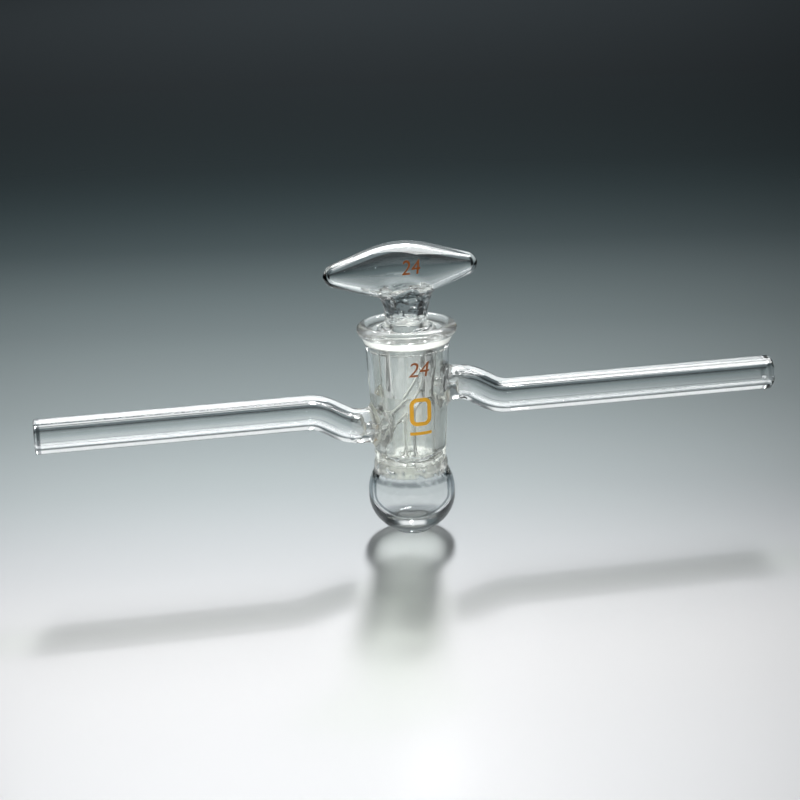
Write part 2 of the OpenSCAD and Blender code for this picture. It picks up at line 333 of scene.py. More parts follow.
def arm_line(s, j, u, w):
    """Distance from an arm's centre line in the plane of both arms.

    u runs outward from the axis, w up from the arm line.
    """
    bend, big = s.bend_angle, s.bend_radius
    run = (j.seal_rise - 2 * big * (1 - math.cos(bend))) / math.sin(bend)
    end = s.bend_start + 2 * big * math.sin(bend) + run * math.cos(bend)
    root = np.hypot(np.clip(u, j.cone_d / 2, s.bend_start) - u, w - j.seal_rise)
    straight = np.hypot(np.maximum(end - u, 0.0), w)
    first = bend_line(u - s.bend_start, w - j.seal_rise + big, bend, big)
    second = bend_line(end - u, big - w, bend, big)
    start_u, start_w = s.bend_start + big * math.sin(bend), j.seal_rise - big * (1 - math.cos(bend))
    way_u, way_w = math.cos(bend), -math.sin(bend)
    along = np.clip((u - start_u) * way_u + (w - start_w) * way_w, 0.0, run)
    slope = np.hypot(u - start_u - along * way_u, w - start_w - along * way_w)
    return np.minimum.reduce([root, straight, first, second, slope])


def bulb_shape(s, r, z, inset):
    """Vacuum bulb: round shoulder, short straight side and flatter underside, moved in by inset."""
    low_x, low_z = s.bulb_d / 2 - s.bulb_lower, s.bulb_lift + s.bulb_lower
    upper = np.hypot(r, z - s.bulb_height) - s.bulb_d / 2
    lower = np.hypot(np.maximum(r - low_x, 0.0), z - low_z) - s.bulb_lower
    side = r - s.bulb_d / 2
    return np.where(z > s.bulb_height, upper, np.where(z > low_z, side, lower)) + inset


def lip_shape(s, j, r, z):
    """Outside of the barrel's tube, with the lip's rolled bead and the cove under it."""
    bead_r = s.bead_d / 2
    bead_x, bead_z = s.lip_d / 2 - bead_r, s.lip_top - bead_r
    cove_x = cone_radius(j, s.flare) + j.gap + s.wall + s.cove
    cove_z = bead_z - math.sqrt((s.cove + bead_r) ** 2 - (cove_x - bead_x) ** 2)
    line_x, line_z = bead_x - cove_x, bead_z - cove_z
    tube = (r - cone_radius(j, z) - j.gap - s.wall) * cone_slant(j)
    tube = np.maximum(np.maximum(tube, z - bead_z), s.bulb_height - z)
    bead = np.hypot(r - bead_x, z - bead_z) - bead_r
    beside = ((r - cove_x) * line_z - (z - cove_z) * line_x) / math.hypot(line_x, line_z)
    cove = np.maximum(s.cove - np.hypot(r - cove_x, z - cove_z), beside)
    cove = np.maximum(np.maximum(cove, cove_z - z), z - bead_z)
    return np.minimum(fuse(tube, bead, BEAD_MELT), cove)


def arm_shapes(s, j, x, y, z):
    """Both arms as solid rods, and the passage through them: wide bores that end in the narrow ports."""
    arms, bores, ports = [], [], []
    for way in (1, -1):
        centre = np.hypot(arm_line(s, j, way * x, way * (z - j.arm_height)), y)
        arms.append(centre - s.arm_d / 2)
        bores.append(common(centre - s.arm_bore / 2, s.bore_start - way * x, BORE_END_ROUND))
        port = np.hypot(y, z - j.arm_height - way * j.port_rise) - j.port_d / 2
        ports.append(np.maximum(np.maximum(port, -way * x), way * x - s.bore_start - j.port_d))
    return np.minimum(*arms), fuse(np.minimum(*bores), np.minimum(*ports), PORT_MELT)


def barrel_hollow(s, j, r, z):
    """The tapered socket, the mouth's funnel over it and the bulb's cavity below."""
    bead_r = s.bead_d / 2
    bead_x, bead_z = s.lip_d / 2 - bead_r, s.lip_top - bead_r
    socket_top = cone_radius(j, s.flare) + j.gap
    funnel = (bead_x - bead_r - socket_top) / (bead_z - s.flare)
    socket = (r - cone_radius(j, z) - j.gap) * cone_slant(j)
    flared = r - socket_top - (z - s.flare) * funnel
    socket = np.maximum(fuse(socket, flared, MOUTH_MELT), s.bulb_height - z)
    deep = np.clip(1 - z / s.bulb_height, 0.0, 1.0)
    wall = s.bulb_wall + s.bulb_under * deep**2
    cavity = common(bulb_shape(s, r, z, wall), s.foot_glass - z, CAVITY_CORNER)
    return fuse(socket, cavity, CAVITY_MELT)


def barrel_field(s, j):
    """Signed distance to the barrel's glass."""
    ring_x = cone_radius(j, s.ring_height) + j.gap + s.wall + s.ring_out - s.ring_curve

    def field(x, y, z):
        r = np.hypot(x, y)
        ring = np.hypot(r - ring_x, z - s.ring_height) - s.ring_curve
        outside = fuse(lip_shape(s, j, r, z), ring, RING_MELT)
        outside = fuse(outside, bulb_shape(s, r, z, 0.0), BULB_MELT)
        foot = common(r - s.foot_d / 2, z - s.foot_h, FOOT_EDGE)
        outside = fuse(outside, foot, FOOT_MELT)
        arms, passage = arm_shapes(s, j, x, y, z)
        outside = fuse(outside, arms, s.seal_blend)
        outside = common(outside, -z, SOLE_EDGE)
        hollow = fuse(barrel_hollow(s, j, r, z), passage, BORE_MELT)
        glass = cut(outside, hollow, BARREL_CUT_EDGE)
        glass = common(glass, x - s.high_reach, ARM_END_EDGE)
        return common(glass, -x - s.low_reach, ARM_END_EDGE)

    return field


def spindle(s, along, rho, inset):
    """The handle about its own axis: curved middle, straight flanks and round ends, moved in by inset."""
    lean, big = s.handle_slope, s.handle_curve
    handle_r = s.handle_d / 2
    flank_x = big * math.sin(lean)
    flank_r = handle_r - big * (1 - math.cos(lean))
    apex = flank_x + flank_r / math.tan(lean)
    ball_r = (apex - s.handle_len / 2) * math.sin(lean) / (1 - math.sin(lean))
    ball_x = s.handle_len / 2 - ball_r
    t = np.abs(along)
    middle = np.hypot(t, rho + big - handle_r) - big
    ball = np.hypot(t - ball_x, rho) - ball_r
    flank = (t - flank_x) * math.sin(lean) + (rho - flank_r) * math.cos(lean)
    in_middle = np.arctan2(t, rho + big - handle_r) < lean
    in_ball = np.arctan2(t - ball_x, rho) > lean
    return np.where(in_middle, middle, np.where(in_ball, ball, flank)) + inset


def plug_outside(s, j, along, rho, r, z):
    """The plug as if solid: ground cone, neck, handle and the handle's sealed tips."""
    cone = (r - cone_radius(j, z)) * cone_slant(j)
    body = common(cone, z - s.shoulder, s.shoulder_round)
    body = common(body, j.plug_bottom - z, PLUG_BOTTOM_EDGE)
    rise = np.clip(z - s.neck_waist, 0.0, s.handle_height - s.handle_d / 2 - s.neck_waist)
    neck = r - s.neck_d / 2 - s.neck_curve + np.sqrt(s.neck_curve**2 - rise**2)
    neck = np.maximum(np.maximum(neck, s.shoulder - NECK_ROOT - z), z - s.handle_height + NECK_TOP)
    tip = np.hypot(np.abs(along) - s.handle_len / 2 - s.tip_out + s.tip_d / 2, rho) - s.tip_d / 2
    handle = fuse(spindle(s, along, rho, 0.0), tip, TIP_MELT)
    return fuse(fuse(body, neck, NECK_MELT), handle, HANDLE_MELT)


def plug_hollow(s, j, along, rho, r, z):
    """The room in the plug, the throat in its neck and the room in the handle."""
    room = (r - cone_radius(j, z) + s.wall) * cone_slant(j)
    room = common(room, z - s.shoulder + s.wall, s.inner_round)
    room = common(room, j.plug_bottom + s.wall - z, s.inner_round)
    throat = r - s.neck_d / 2 + s.neck_wall
    throat = np.maximum(np.maximum(throat, s.shoulder - THROAT_ROOT - z), z - s.handle_height)
    return fuse(fuse(room, throat, THROAT_MELT), spindle(s, along, rho, s.handle_wall), HANDLE_ROOM_MELT)


def inner_tubes(s, j, x, y, z):
    """The oblique tube with its branch as solid rods inside the plug, and the passage through them."""
    inner = cone_radius(j, j.arm_height) - s.wall
    lean = math.atan2(j.port_rise, inner)
    reach = math.hypot(inner, j.port_rise)
    r = np.hypot(x, y)
    cone = (r - cone_radius(j, z)) * cone_slant(j)
    up = x * math.cos(lean) + (z - j.arm_height) * math.sin(lean)
    off = np.hypot((z - j.arm_height) * math.cos(lean) - x * math.sin(lean), y)
    oblique = np.maximum(off - s.tube_d / 2, np.abs(up) - reach)
    branch = r - s.branch_d / 2
    branch = np.maximum(np.maximum(branch, j.plug_bottom + s.wall / 2 - z), z - j.arm_height)
    tubes = np.maximum(fuse(oblique, branch, BRANCH_MELT), cone + s.wall / 2)
    passage = np.maximum(off - j.port_d / 2, np.abs(up) - reach)
    for way in (1, -1):
        port = np.hypot(y, z - j.arm_height - way * j.port_rise) - j.port_d / 2
        passage = np.minimum(passage, np.maximum(port, inner - way * x))
    drain = r - s.branch_bore / 2
    return tubes, fuse(passage, np.maximum(drain, z - j.arm_height), DRAIN_MELT)


def plug_field(s, j):
    """Signed distance to the plug's glass."""
    cos, sin = math.cos(s.handle_turn), math.sin(s.handle_turn)

    def field(x, y, z):
        r = np.hypot(x, y)
        along = x * cos + y * sin - s.handle_shift
        rho = np.hypot(y * cos - x * sin, z - s.handle_height)
        outside = plug_outside(s, j, along, rho, r, z)
        glass = np.maximum(outside, -plug_hollow(s, j, along, rho, r, z))
        tubes, passage = inner_tubes(s, j, x, y, z)
        glass = np.maximum(fuse(glass, tubes, s.tube_flare), outside)
        return cut(glass, passage, PLUG_CUT_EDGE)

    return field


# ---------------------------------------------------------------- meshes from the fields

# How often a point is moved towards the surface, and the least squared slope that it is moved by
SETTLINGS = 5
LEAST_SLOPE = 0.05


def steps(*stretches):
    """Grid lines from (start, end, spacing) stretches that follow one another."""
    lines = [np.array([stretches[0][0]])]
    for start, end, spacing in stretches:
        count = max(1, round((end - start) / spacing))
        lines.append(np.linspace(start, end, count + 1)[1:])
    return np.concatenate(lines)


def slope_of(field, p):
    """Gradient of a field at points p."""
    out = np.empty_like(p)
    for axis in range(3):
        a, b = p.copy(), p.copy()
        a[:, axis] -= TINY
        b[:, axis] += TINY
        out[:, axis] = (field(*b.T) - field(*a.T)) / (2 * TINY)
    return out


def net(field, lines):
    """Closed quad mesh of a field's zero surface.

    Each grid cell that the surface crosses gets one point, and each grid edge that it crosses one face.
    """
    grid = field(lines[0][:, None, None], lines[1][None, :, None], lines[2][None, None, :])
    shape = np.array(grid.shape)
    inside = grid < 0
    cells, faces, points = [], [], []
    for axis in range(3):
        near = [slice(None)] * 3
        far = [slice(None)] * 3
        near[axis], far[axis] = slice(0, -1), slice(1, None)
        hit = np.argwhere(inside[tuple(near)] != inside[tuple(far)])
        step = np.zeros(3, int)
        step[axis] = 1
        a = grid[tuple(hit.T)]
        b = grid[tuple((hit + step).T)]
        place = np.stack([lines[k][hit[:, k]] for k in range(3)], axis=1)
        place[:, axis] += (lines[axis][hit[:, axis] + 1] - lines[axis][hit[:, axis]]) * a / (a - b)
        side, up = np.zeros(3, int), np.zeros(3, int)
        side[(axis + 1) % 3], up[(axis + 2) % 3] = 1, 1
        around = np.stack([hit - side - up, hit - up, hit, hit - side], axis=1)
        ids = (around[..., 0] * shape[1] + around[..., 1]) * shape[2] + around[..., 2]
        cells.append(ids.ravel())
        points.append(np.repeat(place, 4, axis=0))
        faces.append(np.where((a < 0)[:, None], ids, ids[:, ::-1]))
    cells, points, faces = np.concatenate(cells), np.concatenate(points), np.concatenate(faces)
    used, index = np.unique(cells, return_inverse=True)
    count = np.bincount(index)
    mean = np.stack([np.bincount(index, points[:, k]) / count for k in range(3)], axis=1)
    return mean, np.searchsorted(used, faces)


def settle(field, p, limit):
    """Moves points onto a field's zero surface and returns them with their normals."""
    start = p.copy()
    for _ in range(SETTLINGS):
        g = slope_of(field, p)
        size = np.maximum((g * g).sum(1), LEAST_SLOPE)
        p = p - g * (field(*p.T) / size)[:, None]
        away = p - start
        reach = np.linalg.norm(away, axis=1)
        p = start + away * np.minimum(1.0, limit / np.maximum(reach, TINY))[:, None]
    g = slope_of(field, p)
    return p, g / np.maximum(np.linalg.norm(g, axis=1), TINY)[:, None]


def glass_piece(name, field, lines, limit, body, cad_node, material):
    """Makes a smooth closed glass mesh from a field and puts it in a CAD node's place."""
    points, faces = net(field, lines)
    points, normals = settle(field, points, limit)
    mesh = bpy.data.meshes.new(name)
    mesh.from_pydata(points.tolist(), [], faces.tolist())
    mesh.shade_smooth()
    mesh.normals_split_custom_set_from_vertices(normals.tolist())
    mesh.materials.append(material)
    obj = bpy.data.objects.new(name, mesh)
    bpy.context.scene.collection.objects.link(obj)
    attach(obj, body)
    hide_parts(cad_node)
    return obj


# ---------------------------------------------------------------- nodes written as sums


class Value:
    """A number that nodes work out. Sums, products and comparisons of it add the nodes that they need."""

    def __init__(self, tree, socket):
        self.tree, self.socket = tree, socket

    def __add__(self, other):
        return maths("ADD", self, other)

    def __sub__(self, other):
        return maths("SUBTRACT", self, other)

    def __rsub__(self, other):
        return maths("SUBTRACT", other, self)

    def __mul__(self, other):
        return maths("MULTIPLY", self, other)

    def __truediv__(self, other):
        return maths("DIVIDE", self, other)

    def __pow__(self, other):
        return maths("POWER", self, other)

    def __abs__(self):
        return maths("ABSOLUTE", self)

    def __lt__(self, other):
        return maths("LESS_THAN", self, other)

    def __gt__(self, other):
        return maths("GREATER_THAN", self, other)

    def __or__(self, other):
        """The larger of the two, which lays one mask over another."""
        return maths("MAXIMUM", self, other)

    def rise(self, low, high):
        """0 below low, 1 above high, smooth between."""
        made = node(
            self.tree, "ShaderNodeMapRange",
            {"Value": self, "From Min": low, "From Max": high, "To Min": 0.0, "To Max": 1.0},
            interpolation_type="SMOOTHSTEP",
        )
        return Value(self.tree, made.outputs["Result"])

    def fall(self, low, high):
        """1 below low, 0 above high, smooth between."""
        return 1.0 - self.rise(low, high)

    def band(self, start, full, fall, end):
        """1 between full and fall, 0 below start and above end, smooth between."""
        return self.rise(start, full) - self.rise(fall, end)


def fill(tree, socket, value):
    """Links an input to a value that nodes work out, or sets it to a plain one."""
    if isinstance(value, Value):
        value = value.socket
    if isinstance(value, bpy.types.NodeSocket):
        tree.links.new(value, socket)
    else:
        socket.default_value = value


def maths(operation, *values):
    """A maths node on the given values, at least one of which nodes work out."""
    tree = next(value.tree for value in values if isinstance(value, Value))
    made = tree.nodes.new("ShaderNodeMath")
    made.operation = operation
    for socket, value in zip(made.inputs, values):
        fill(tree, socket, value)
    return Value(tree, made.outputs[0])


def node(tree, kind, inputs=None, **settings):
    """A node with its settings and inputs."""
    made = tree.nodes.new(kind)
    for key, value in settings.items():
        setattr(made, key, value)
    for key, value in (inputs or {}).items():
        fill(tree, made.inputs[key], value)
    return made


def split(tree, vector):
    """The three parts of a vector."""
    parts = node(tree, "ShaderNodeSeparateXYZ", {"Vector": vector}).outputs
    return [Value(tree, part) for part in parts]


def object_place(tree):
    """The place on the piece, in the object's own space."""
    return node(tree, "ShaderNodeTexCoord").outputs["Object"]


def noise(tree, where, scale, detail):
    """Soft noise around a half; scale is the number of its cells in a metre."""
    made = node(tree, "ShaderNodeTexNoise", {"Vector": where, "Scale": scale, "Detail": detail})
    return Value(tree, made.outputs[0])


def mix_colours(tree, share, first, second):
    """The second colour over the first, by a share."""
    made = node(tree, "ShaderNodeMix", {0: share, 6: first, 7: second}, data_type="RGBA")
    return made.outputs[2]


def mix_shaders(tree, share, first, second):
    """The second shader over the first, by a share."""
    return node(tree, "ShaderNodeMixShader", {0: share, 1: first, 2: second}).outputs[0]


def new_material(name):
    """An empty material and its node tree."""
    material = bpy.data.materials.new(name)
    material.use_nodes = True
    material.node_tree.nodes.clear()
    return material, material.node_tree


# ---------------------------------------------------------------- glass

# How edge-on the glass is seen where a painted line shows, dark for painted shade and white for a painted
# highlight, from 0 for face-on to 1: starts and full, or starts, full from, full to and ends
BULB_OUTER_LINE = (0.90, 0.97)
BULB_INNER_LINE = (0.54, 0.62, 0.70, 0.78)
BULB_SHOULDER_LINE = (0.56, 0.70)
OUTLINE = (0.84, 0.96)
ARM_BORE_LINE = (0.26, 0.31, 0.35, 0.40)
NECK_LINE = (0.30, 0.46, 0.66, 0.80)
TUBE_LINE = (0.42, 0.64)
PLUG_WALL_LINE = (0.66, 0.90)
# Heights in the same order, in metres from the seam's ring,
BULB_TOP = (-0.0037, 0.0003)
SEAM_LINE = (-0.0036, -0.0030, -0.0025, -0.0019)
SEAM = (-0.0032, -0.0017, 0.0028, 0.0043)
SEAM_HEM = (-0.0017, -0.0012, 0.0008, 0.0020)
# from the bulb's shoulder, and from the glass in the foot
BULB_SHOULDER = (-0.0028, 0.0002)
SOLE = (-0.0012, 0.0010)
# from the start of the mouth's flare
CROWN = (-0.0001, 0.0009)
CUFF = (-0.0008, 0.0000, 0.0009, 0.0017)
FUNNEL = (0.0007, 0.0012, 0.0024, 0.0036)
# from the plug's shoulder, and from the neck's waist
COLLAR = (0.0001, 0.0008, 0.0061, 0.0076)
NECK = (-0.0006, 0.0004, 0.0049, 0.0062)
# from the lower and from the upper end of the ground band
TUBES_LOW = (0.0, 0.002)
TUBES_TOP = (-0.004, -0.002)
# Distances along the arms, in metres from the start of the bend and from the tubes' cut ends
STRAIGHT_TUBE = (0.0048, 0.0068)
END_LINE = (-0.0014, -0.0011, -0.0008, -0.0005)
CUT_END = (-0.0004, -0.0001)
# Around an arm's seal, in metres: across from the cone, out from the cone, up from the tube's edge
SEAL_ACROSS = (-0.0030, -0.0015)
SEAL_OUT = (0.0050, 0.0075)
SEAL_UP = (0.0, 0.0015)
# How far off the ground cone, in metres: what still lies on it, what is clear of it, and the inner tubes
ON_CONE = 0.0002
BESIDE_CONE = 0.0005
INNER_TUBES = 0.0020
# Edge of the ground band, and how far its lower one is ragged
GROUND_EDGE = 0.0002
RAGGED = 0.0022
# Shadows, in metres: where the arms' start off the cone, the middle and the reach of both along the arms,
# what is no arm any more above, and the heights over which shadows fade
SHADE_START = (0.0023, 0.0033)
SHADE_MIDDLE = 0.0027
SHADE_END = (0.0735, 0.0795)
SHADE_TOP = 0.045
HIGH_GLASS = (0.034, 0.060)
SHADE_RED, SHADE_BLUE = 0.992, 0.988
# Cells in a metre of the melted glass's lumps, the ground band's streaks and its ragged edge
LUMPS = 520.0
STREAKS = 700.0
RAGS = 420.0
# Upright scale of the streaks' cells, where less than 1 draws them out
STREAK_RISE = 0.16
# Noise over which the seam's line, the hem and the streaks come in
SEAM_GAPS = (0.22, 0.52)
HEM_GAPS = (0.30, 0.56)
STREAK_GAPS = (0.40, 0.70)
MILKY_WHITE = (0.93, 0.94, 0.91, 1.0)
GLASS_IOR = 1.47


class GlassSurface:
    """What the glass's shading depends on, at each point of its surface."""

    def __init__(self, tree, scene):
        self.tree = tree
        self.joint, self.barrel, self.plug = scene.stopcock_joint, scene.stopcock_barrel, scene.stopcock_plug
        self.look, self.shading = scene.stopcock_look, scene.stopcock_shading
        self.place = object_place(tree)
        self.x, y, self.z = split(tree, self.place)
        self.radius = maths("SQRT", self.x * self.x + y * y)
        self.edge = Value(tree, node(tree, "ShaderNodeLayerWeight", {"Blend": 0.5}).outputs["Facing"])
        self.lumps = noise(tree, self.place, LUMPS, 1.0)
        self.over_seam = self.z - self.barrel.ring_height
        self.over_flare = self.z - self.barrel.flare
        self.bulb = self.over_seam.fall(*BULB_TOP)
        j = self.joint
        self.cone = self.z * j.taper + (j.cone_d / 2 - j.arm_height * j.taper + j.gap / 2)
        self.outer = self.radius > j.cone_d / 2 + BESIDE_CONE


def painted_dark_lines(at):
    """Painted shade where thick glass would show its dark surroundings: outlines and bore lines, the line
    under the seam and the foot.
    """
    b, p, shading = at.barrel, at.plug, at.shading
    bulb_lines = at.edge.band(*BULB_INNER_LINE) | at.edge.rise(*BULB_OUTER_LINE)
    shoulder = (at.z - b.bulb_height).rise(*BULB_SHOULDER) * at.edge.rise(*BULB_SHOULDER_LINE)
    bulb = (bulb_lines | shoulder) * at.bulb
    under_seam = at.over_seam.band(*SEAM_LINE) * at.lumps.rise(*SEAM_GAPS) * shading.painted_seam_line
    painted_foot_shade = (at.z - b.foot_glass).fall(*SOLE) * shading.painted_foot_shade
    tubing = (abs(at.x) - b.bend_start).rise(*STRAIGHT_TUBE)
    past_end = abs(at.x - (b.high_reach - b.low_reach) / 2) - (b.high_reach + b.low_reach) / 2
    ends = (past_end.band(*END_LINE) | past_end.rise(*CUT_END)) * shading.end_line
    bores = at.edge.band(*ARM_BORE_LINE) * shading.painted_bore_line
    outline = at.edge.rise(*OUTLINE) * shading.outline
    arms = (bores | outline | ends) * tubing
    slim = (at.radius < p.neck_d / 2 + p.wall) * shading.painted_neck_line
    neck = (at.z - p.shoulder).band(*COLLAR) * at.edge.band(*NECK_LINE) * slim
    lip = at.over_flare.rise(*CROWN) * outline
    return bulb | under_seam | painted_foot_shade | arms | neck | lip


def seal_mask(at):
    """Where the arms are sealed to the barrel."""
    j, b = at.joint, at.barrel
    off_port = abs(at.z - j.arm_height - maths("SIGN", at.x) * j.port_rise)
    across = (abs(at.x) - j.cone_d / 2).rise(*SEAL_ACROSS)
    out = (at.radius - j.cone_d / 2).fall(*SEAL_OUT)
    return across * out * (off_port - b.arm_d / 2).fall(*SEAL_UP)


def clear_glass(at, seals):
    """Clear glass, tinted with painted shade along its lines and in its foot, and slightly lumpy where it
    was melted.
    """
    look, shading = at.look, at.shading
    tint = mix_colours(at.tree, painted_dark_lines(at), (*look.glass, 1.0), (*look.edge, 1.0))
    neck = (at.z - at.plug.neck_waist).band(*NECK) * shading.neck_unevenness
    worked = seals | at.over_seam.band(*SEAM) | neck
    uneven = node(
        at.tree, "ShaderNodeBump",
        {"Height": at.lumps * worked, "Strength": shading.unevenness, "Distance": shading.uneven_depth},
    )
    return node(
        at.tree, "ShaderNodeBsdfPrincipled",
        {"Base Color": tint, "Roughness": 0.0, "IOR": GLASS_IOR, "Transmission Weight": 1.0,
         "Normal": uneven.outputs[0]},
    ).outputs[0]


def ground_mask(at):
    """The ground and greased band of the cone, with a ragged lower edge."""
    j = at.joint
    ragged = (noise(at.tree, at.place, RAGS, 2.0) - 0.5) * RAGGED
    above = (at.z + ragged).rise(j.ground_low - GROUND_EDGE, j.ground_low + GROUND_EDGE)
    below = at.z.fall(j.ground_top - GROUND_EDGE, j.ground_top + GROUND_EDGE)
    return (abs(at.radius - at.cone) < ON_CONE) * (above * below)


def painted_tube_highlights(at):
    """Painted highlight: white on the edges of the tubes and of the wall inside the plug, where they would
    gather light from the ground band.
    """
    j = at.joint
    within = (at.z - j.ground_low).rise(*TUBES_LOW) - (at.z - j.ground_top).rise(*TUBES_TOP)
    tubes = at.edge.rise(*TUBE_LINE) * (at.radius < at.cone - INNER_TUBES)
    wall = at.edge.rise(*PLUG_WALL_LINE) * (at.radius < at.cone - BESIDE_CONE)
    return (tubes | wall) * within


def white_rings_and_highlights(at):
    """White rings: one under the lip, a broken one at the seam that is a painted highlight of the thick
    glass there, and a faint one in the mouth's funnel that is a painted reflection of the softbox.
    """
    shading = at.shading
    cuff = at.over_flare.band(*CUFF) * shading.cuff
    hem = at.over_seam.band(*SEAM_HEM) * (at.lumps.rise(*HEM_GAPS) * shading.hem)
    funnel = at.over_flare.band(*FUNNEL) * shading.funnel
    return (cuff + hem + funnel) * at.outer


def glass_shade(at, ground):
    """How glass shades the floor: most at its edges, and hardly at all from high above the floor."""
    j, shading = at.joint, at.shading
    arm = (abs(at.x) - j.cone_d / 2).rise(*SHADE_START) * (at.z < SHADE_TOP)
    arm = arm * abs(at.x - SHADE_MIDDLE).fall(*SHADE_END)
    plain = arm * shading.arm_shade + ground * shading.ground_shade + at.bulb * shading.bulb_shade
    weight = at.bulb * shading.bulb_rim + arm * shading.arm_rim + shading.rim
    rims = at.edge**shading.rim_power * weight
    high = at.z.rise(*HIGH_GLASS) * shading.high_fade
    clearness = (shading.lit - (rims + plain) * (1.0 - high)) | 0.0
    green = node(
        at.tree, "ShaderNodeCombineColor",
        {"Red": clearness * SHADE_RED, "Green": clearness, "Blue": clearness * SHADE_BLUE},
    )
    return node(at.tree, "ShaderNodeBsdfTransparent", {"Color": green.outputs[0]}).outputs[0]


def glass_material(name, scene):
    """Clear glass, with the ground and greased band of the joint see-through and a little hazy."""
    material, tree = new_material(name)
    at = GlassSurface(tree, scene)
    shading = at.shading
    film = node(tree, "ShaderNodeBsdfTranslucent", {"Color": MILKY_WHITE}).outputs[0]
    white = node(tree, "ShaderNodeBsdfDiffuse", {"Color": MILKY_WHITE}).outputs[0]
    milk = mix_shaders(tree, shading.milk, film, white)
    grease = node(tree, "ShaderNodeBsdfTransparent", {"Color": (*at.look.grease, 1.0)}).outputs[0]
    upright = node(tree, "ShaderNodeMapping", {"Vector": at.place, "Scale": (1.0, 1.0, STREAK_RISE)})
    streaks = noise(tree, upright.outputs[0], STREAKS, 3.0).rise(*STREAK_GAPS)
    haze = streaks * shading.haze + shading.least_haze
    ground_glass = mix_shaders(tree, haze, grease, mix_shaders(tree, 0.5, film, white))
    seals, ground = seal_mask(at), ground_mask(at)
    # Painted highlight on the tubes' edges, and a little white in the seals
    whitened = painted_tube_highlights(at) * shading.tube_edge | seals * shading.seal_white
    glass = mix_shaders(tree, whitened, clear_glass(at, seals), white)
    # White rings, with a painted highlight at the seam and a painted reflection in the funnel
    glass = mix_shaders(tree, white_rings_and_highlights(at), glass, milk)
    glass = mix_shaders(tree, ground, glass, ground_glass)
    shadow_ray = node(tree, "ShaderNodeLightPath").outputs["Is Shadow Ray"]
    glass = mix_shaders(tree, shadow_ray, glass, glass_shade(at, ground))
    node(tree, "ShaderNodeOutputMaterial", {"Surface": glass})
    return material


# Cells in a metre of the enamel's grain, the noise over which it is thin, and what pales it there
ENAMEL_GRAIN = 2600.0
THIN_ENAMEL = (0.52, 0.8)
PALING = 0.25
PALE = 0.40


def enamel_material(name, tint):
    """Fired-on enamel: half gloss, slightly uneven, and paler where it is thin."""
    material, tree = new_material(name)
    thin = noise(tree, object_place(tree), ENAMEL_GRAIN, 3.0).rise(*THIN_ENAMEL)
    pale = tuple((1.0 - PALING) * part + PALING * PALE for part in tint)
    tone = mix_colours(tree, thin, (*tint, 1.0), (*pale, 1.0))
    paint = node(tree, "ShaderNodeBsdfPrincipled", {"Base Color": tone, "Roughness": 0.35, "IOR": 1.5})
    node(tree, "ShaderNodeOutputMaterial", {"Surface": paint.outputs[0]})
    return material


# ---------------------------------------------------------------- marks on the glass

# Artwork starts on a plane this far in front of the axis and is cast back onto the glass, up to this far
ART_PLANE = 0.05
ART_CAST = 0.1
# Points closer than this are joined
WELD = 1e-7


def mark_inputs(tree):
    """Gives a mark's node tree its named inputs and its output."""
    face = tree.interface
    face.new_socket("Geometry", in_out="INPUT", socket_type="NodeSocketGeometry")
    face.new_socket("Glass", in_out="INPUT", socket_type="NodeSocketObject")
    face.new_socket("Enamel", in_out="INPUT", socket_type="NodeSocketMaterial")
    for name in ("Middle X", "Middle Z", "Width", "Height", "Line", "Slant", "Thickness", "Sunk"):
        face.new_socket(name, in_out="INPUT", socket_type="NodeSocketFloat")
    face.new_socket("Text", in_out="INPUT", socket_type="NodeSocketString")
    face.new_socket("Geometry", in_out="OUTPUT", socket_type="NodeSocketGeometry")


def joined(tree, first, second):
    """Two geometries as one."""
    both = node(tree, "GeometryNodeJoinGeometry", {"Geometry": first})
    tree.links.new(second, both.inputs[0])
    return both.outputs[0]


def mark_tree(shape):
    """Node tree that lays flat artwork on a glass surface and gives it a thickness.

    shape(tree, group) returns the artwork's filled mesh in its own XY plane, about the origin.
    """
    tree = bpy.data.node_groups.new("mark", "GeometryNodeTree")
    mark_inputs(tree)
    group = node(tree, "NodeGroupInput").outputs
    fine = node(tree, "GeometryNodeSubdivideMesh", {"Mesh": shape(tree, group), "Level": 3}).outputs[0]
    x, y, _ = split(tree, node(tree, "GeometryNodeInputPosition").outputs[0])
    lean = y * maths("TANGENT", Value(tree, group["Slant"]))
    across = x + lean + group["Middle X"]
    height = y + group["Middle Z"]
    front = node(tree, "ShaderNodeCombineXYZ", {"X": across, "Y": -ART_PLANE, "Z": height}).outputs[0]
    glass = node(tree, "GeometryNodeObjectInfo", {"Object": group["Glass"]}).outputs["Geometry"]
    ray = node(
        tree, "GeometryNodeRaycast",
        {"Target Geometry": glass, "Source Position": front, "Ray Direction": (0.0, 1.0, 0.0),
         "Ray Length": ART_CAST},
    ).outputs
    inward = node(tree, "ShaderNodeVectorMath", {0: ray["Hit Normal"], 3: group["Sunk"]}, operation="SCALE")
    base = node(
        tree, "ShaderNodeVectorMath", {0: ray["Hit Position"], 1: inward.outputs[0]}, operation="SUBTRACT"
    )
    laid = node(tree, "GeometryNodeSetPosition", {"Geometry": fine, "Position": base.outputs[0]}).outputs[0]
    raised = node(
        tree, "GeometryNodeExtrudeMesh",
        {"Mesh": laid, "Offset Scale": group["Thickness"], "Individual": False},
    ).outputs["Mesh"]
    back = node(tree, "GeometryNodeFlipFaces", {"Mesh": laid}).outputs[0]
    shell = {"Geometry": joined(tree, raised, back), "Distance": WELD}
    closed = node(tree, "GeometryNodeMergeByDistance", shell).outputs[0]
    plain = node(tree, "GeometryNodeRealizeInstances", {"Geometry": closed}).outputs[0]
    coat = {"Geometry": plain, "Material": group["Enamel"]}
    painted = node(tree, "GeometryNodeSetMaterial", coat).outputs[0]
    tree.links.new(painted, node(tree, "NodeGroupOutput").inputs[0])
    return tree


